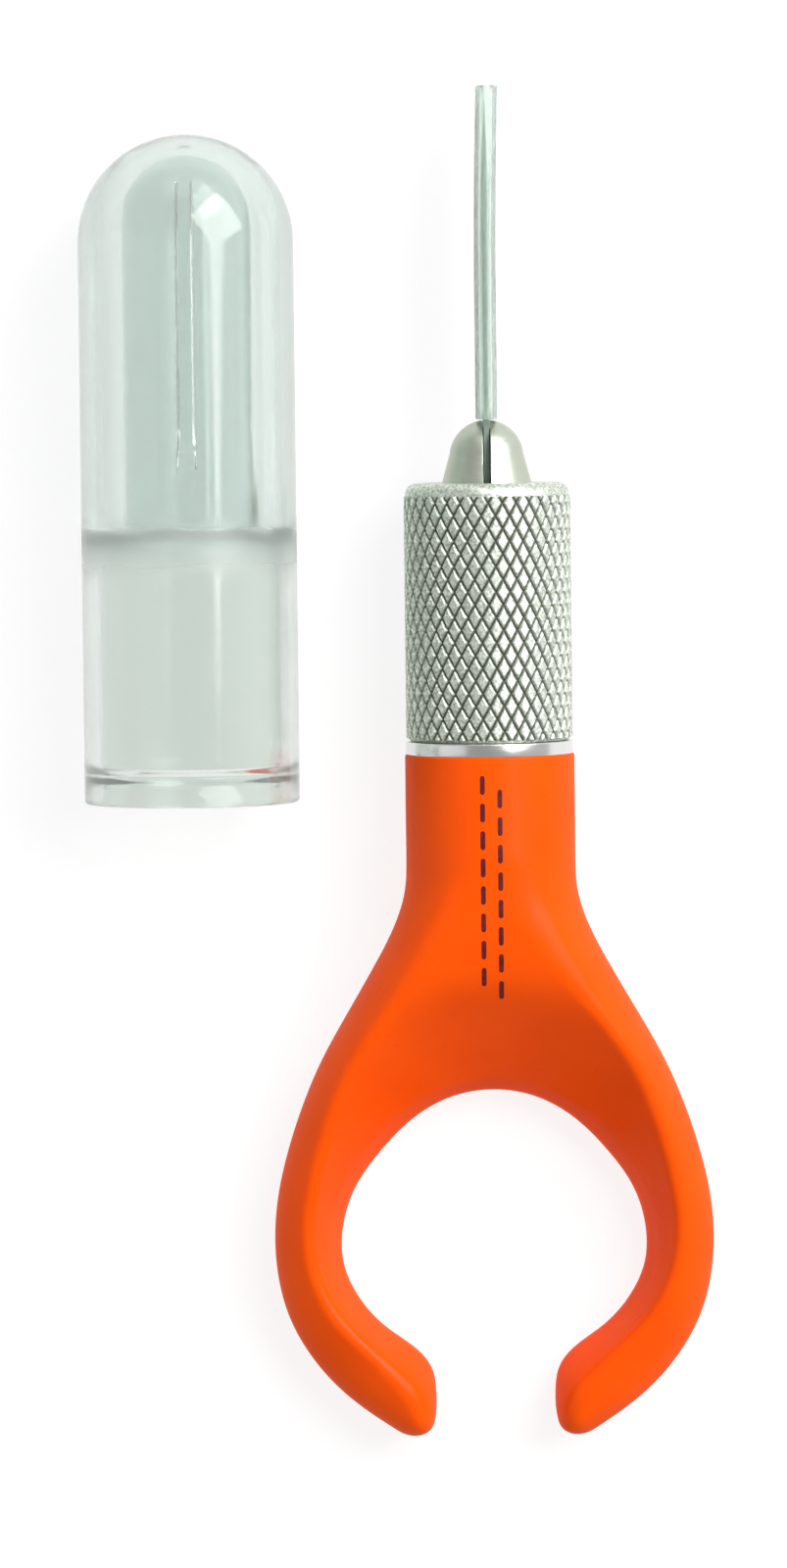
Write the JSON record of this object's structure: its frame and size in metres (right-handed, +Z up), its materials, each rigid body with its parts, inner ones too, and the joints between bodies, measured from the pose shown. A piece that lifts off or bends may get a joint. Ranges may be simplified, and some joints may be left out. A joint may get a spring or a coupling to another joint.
{
  "type": "seam ripper",
  "caption": "Seam ripper with an open finger loop, knurled collet chuck, clear blade sleeve and clear domed cap lying beside it.",
  "frame": {"origin": "on the surface that the parts lie on, under the middle of the whole group's bounding box", "axes": "+Y along the tool towards the blade's point, +X across the loop with the cap on the -X side, +Z up, out of the side with the finger pad"},
  "size_m": [0.045, 0.0976, 0.0154],
  "materials": {
    "grip": "satin soft-touch moulding",
    "core": "plain moulded, hidden",
    "stud": "turned",
    "trim": "polished",
    "pin": "ground",
    "collet": "satin turned",
    "collar": "bright, diamond knurled",
    "blade": "ground steel strip",
    "sleeve": "clear soft tube",
    "cap": "clear moulded"
  },
  "bodies": {
    "handle": {"handle_grip": "grip", "handle_core": "core", "threaded_ferrule": "stud", "trim_ring": "trim", "key_pin": "pin"},
    "chuck_collet": {"collet": "collet"},
    "chuck_collar": {"knurled_collar": "collar"},
    "blade": {"blade": "blade"},
    "sleeve": {"blade_sleeve": "sleeve"},
    "cap": {"cap": "cap"}
  },
  "joints": [
    {"name": "collet_travel", "type": "slide", "parent": "handle", "child": "chuck_collet", "axis": [0, 1, 0], "range_m": [0, 0.0015]},
    {"name": "collar_turn", "type": "hinge", "parent": "chuck_collet", "child": "chuck_collar", "pos_m": [0.00661, 0.01115, 0.0061], "axis": [0, 1, 0], "range_deg": [0, 720]},
    {"name": "blade_pull", "type": "slide", "parent": "chuck_collet", "child": "blade", "axis": [0, 1, 0], "range_m": [0, 0.019]},
    {"name": "sleeve_pull", "type": "slide", "parent": "blade", "child": "sleeve", "axis": [0, 1, 0], "range_m": [0, 0.023]},
    {"name": "cap_pull", "type": "slide", "parent": "handle", "child": "cap", "axis": [0, 1, 0], "range_m": [0, 0.046]}
  ],
  "couplings": [
    {"joint": "collet_travel", "follows": "collar_turn", "m_per_rad": 0.00011937}
  ]
}
